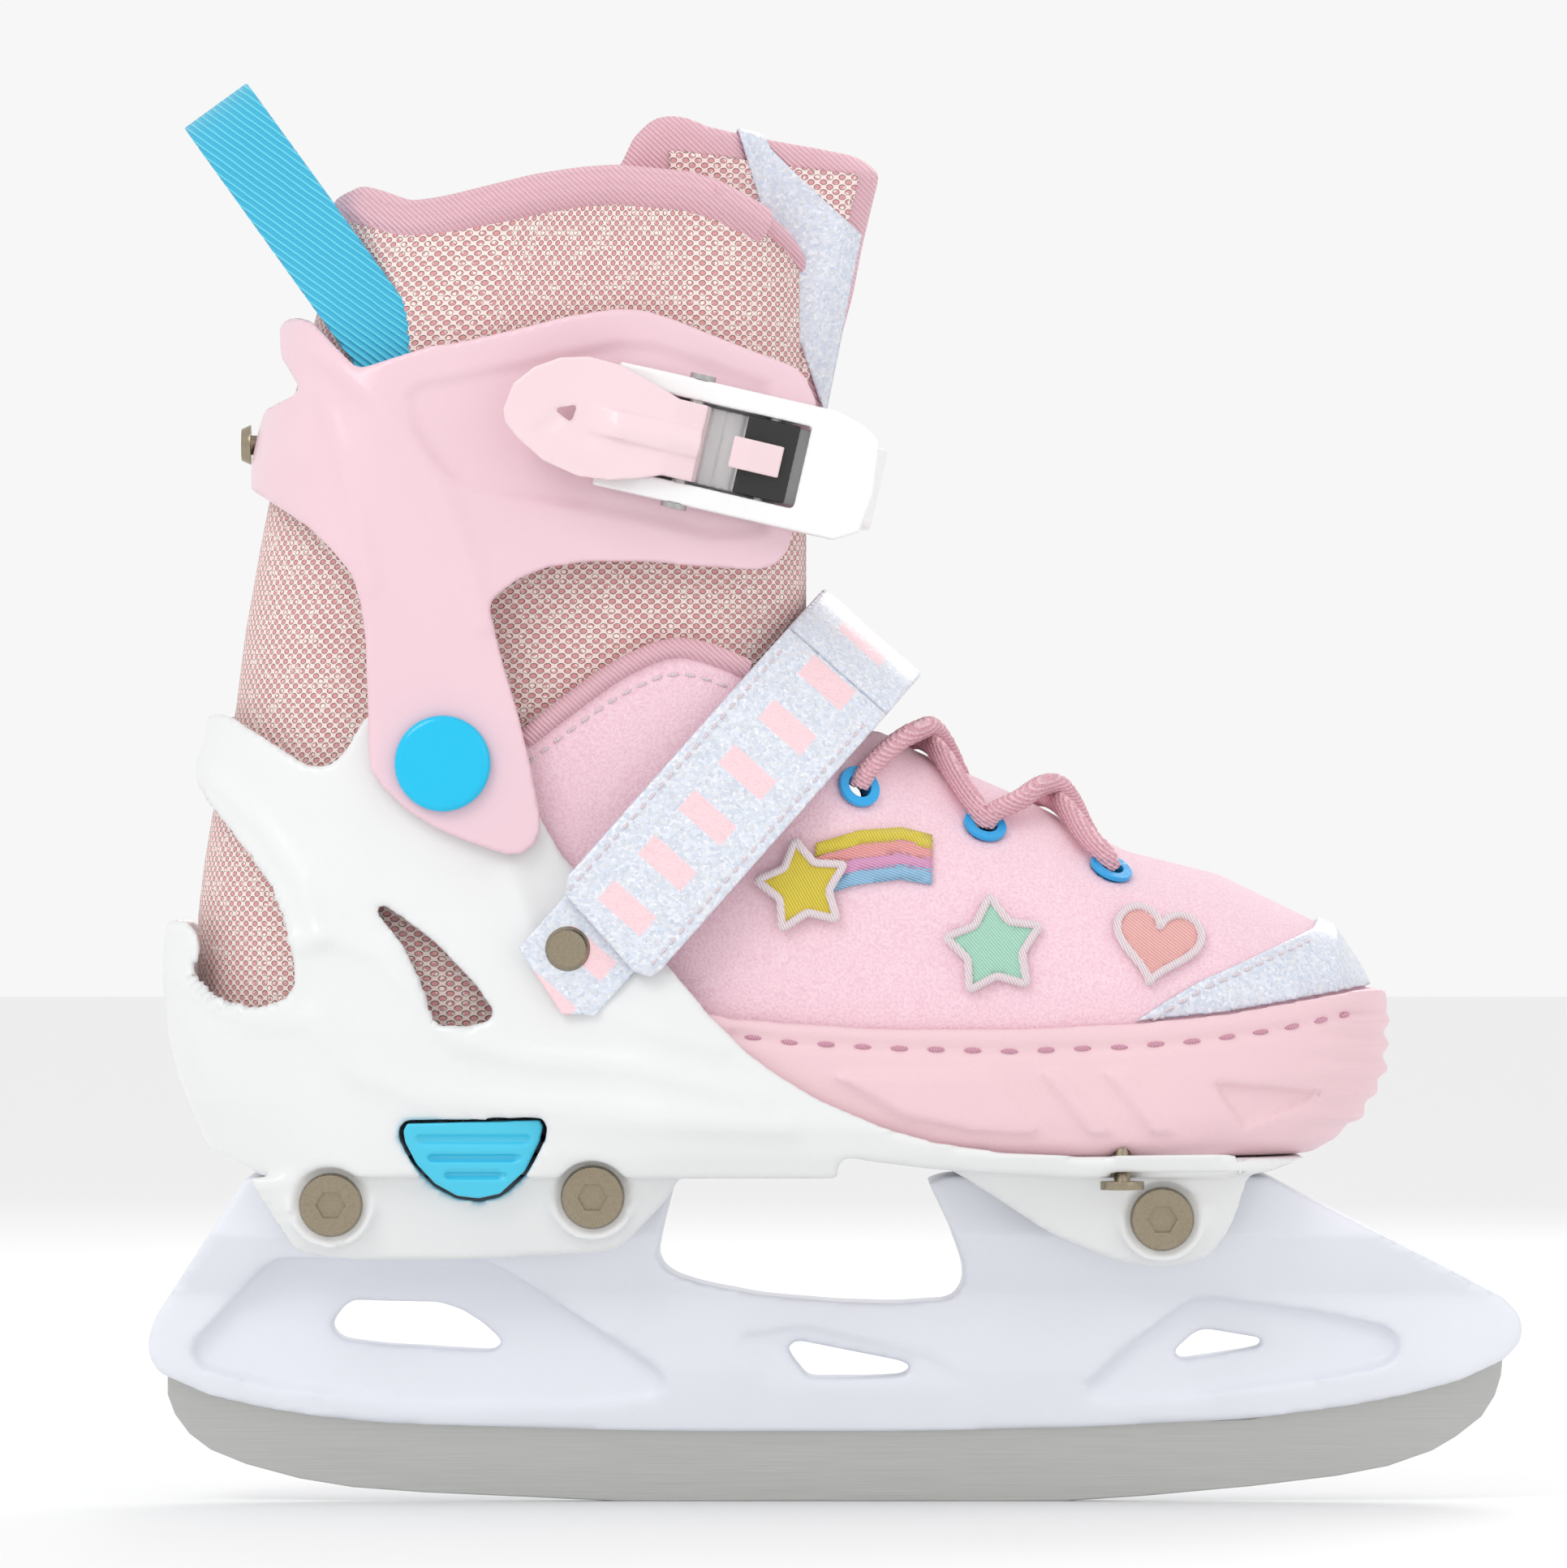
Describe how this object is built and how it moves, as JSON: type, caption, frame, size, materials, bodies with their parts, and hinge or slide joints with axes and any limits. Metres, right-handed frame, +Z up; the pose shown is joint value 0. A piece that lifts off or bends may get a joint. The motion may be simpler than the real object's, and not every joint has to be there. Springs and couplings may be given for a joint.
{
  "type": "ice skate",
  "caption": "Child's size-adjustable ice skate for the right foot: steel blade in a plastic holder, moulded heel shell and hinged cuff, soft padded boot, sliding toe.",
  "frame": {"origin": "middle of the blade's flat running edge", "axes": "+X points to the toe, +Z up, -Y is the outer side with the buckle"},
  "size_m": [0.2658, 0.1001, 0.2748],
  "materials": {
    "blade_steel": "brushed lengthwise",
    "holder_plastic": "moulded satin",
    "shell_plastic": "moulded gloss",
    "cuff_plastic": "moulded gloss",
    "lever_plastic": "moulded gloss",
    "sole_rubber": "moulded soft rubber-like plastic",
    "nickel_steel": "nickel plated, satin",
    "cap_blue": "moulded gloss",
    "button_blue": "moulded gloss",
    "eyelet_blue": "enamelled",
    "white_plastic": "moulded gloss",
    "black_plastic": "moulded satin",
    "pin_steel": "turned",
    "pink_felt": "brushed felt",
    "glitter_white": "glitter laminate",
    "mesh_net": "net over foam",
    "pink_padding": "twill over foam",
    "lace_pink": "braided",
    "ribbon_blue": "ribbed ribbon",
    "insole_felt": "felt over foam",
    "patch_mint": "embroidered",
    "patch_yellow": "embroidered",
    "patch_pink": "embroidered"
  },
  "bodies": {
    "shell": {"blade": "blade_steel", "blade_holder": "holder_plastic", "holder_bolts": "nickel_steel", "sleeve_nuts": "nickel_steel", "shell": "shell_plastic", "pivot_rivets": "nickel_steel", "pivot_caps": "cap_blue", "pivot_washers": "white_plastic", "button_spring": "pin_steel", "liner_foot": "mesh_net", "insole_heel": "insole_felt", "strap_anchor": "glitter_white", "ring_tab": "glitter_white", "strap_rivets": "nickel_steel"},
    "toe": {"toe_sole": "sole_rubber", "vamp": "pink_felt", "toe_cap": "glitter_white", "eyelets": "eyelet_blue", "laces": "lace_pink", "guide_screws": "nickel_steel", "insole_front": "insole_felt", "star_patch": "patch_mint", "comet_patch": "patch_yellow", "heart_patch": "patch_pink", "instep_strap": "glitter_white", "strap_ring": "white_plastic"},
    "strap_flap": {"strap_flap": "glitter_white"},
    "cuff": {"cuff": "cuff_plastic", "rear_rivet": "nickel_steel", "buckle_frame": "white_plastic", "buckle_rivets": "nickel_steel", "lever_pin": "pin_steel", "pawl_pin": "pin_steel", "strap_root": "white_plastic", "strap_root_rivet": "nickel_steel", "liner_shaft": "mesh_net", "tongue": "pink_padding", "pull_loop": "ribbon_blue"},
    "lever": {"buckle_lever": "lever_plastic"},
    "pawl": {"pawl": "black_plastic", "release_tab": "lever_plastic"},
    "ladder": {"ladder_strap": "white_plastic"},
    "button": {"size_button": "button_blue"}
  },
  "joints": [
    {"name": "size_slide", "type": "slide", "parent": "shell", "child": "toe", "axis": [1, 0, 0], "range_m": [0, 0.02]},
    {"name": "button_press", "type": "slide", "parent": "shell", "child": "button", "axis": [0, 1, 0], "range_m": [0, 0.003], "stiffness_N_per_m": 400},
    {"name": "cuff_flex", "type": "hinge", "parent": "shell", "child": "cuff", "pos_m": [-0.0751, 0, 0.1428], "axis": [0, 1, 0], "range_deg": [-4, 5]},
    {"name": "lever_open", "type": "hinge", "parent": "cuff", "child": "lever", "pos_m": [-0.0282, -0.0474, 0.204], "axis": [0.225, 0, 0.9744], "range_deg": [0, 70]},
    {"name": "pawl_release", "type": "hinge", "parent": "cuff", "child": "pawl", "pos_m": [-0.01339, -0.0466, 0.20058], "axis": [0.225, 0, 0.9744], "range_deg": [0, 12], "stiffness_Nm_per_rad": 0.05},
    {"name": "ladder_slide", "type": "slide", "parent": "cuff", "child": "ladder", "axis": [0.9744, 0, -0.225], "range_m": [0, 0.012]},
    {"name": "flap_peel", "type": "hinge", "parent": "toe", "child": "strap_flap", "pos_m": [0.0003, -0.0275, 0.16061], "axis": [-0.749, 0, 0.6626], "range_deg": [0, 60]}
  ]
}
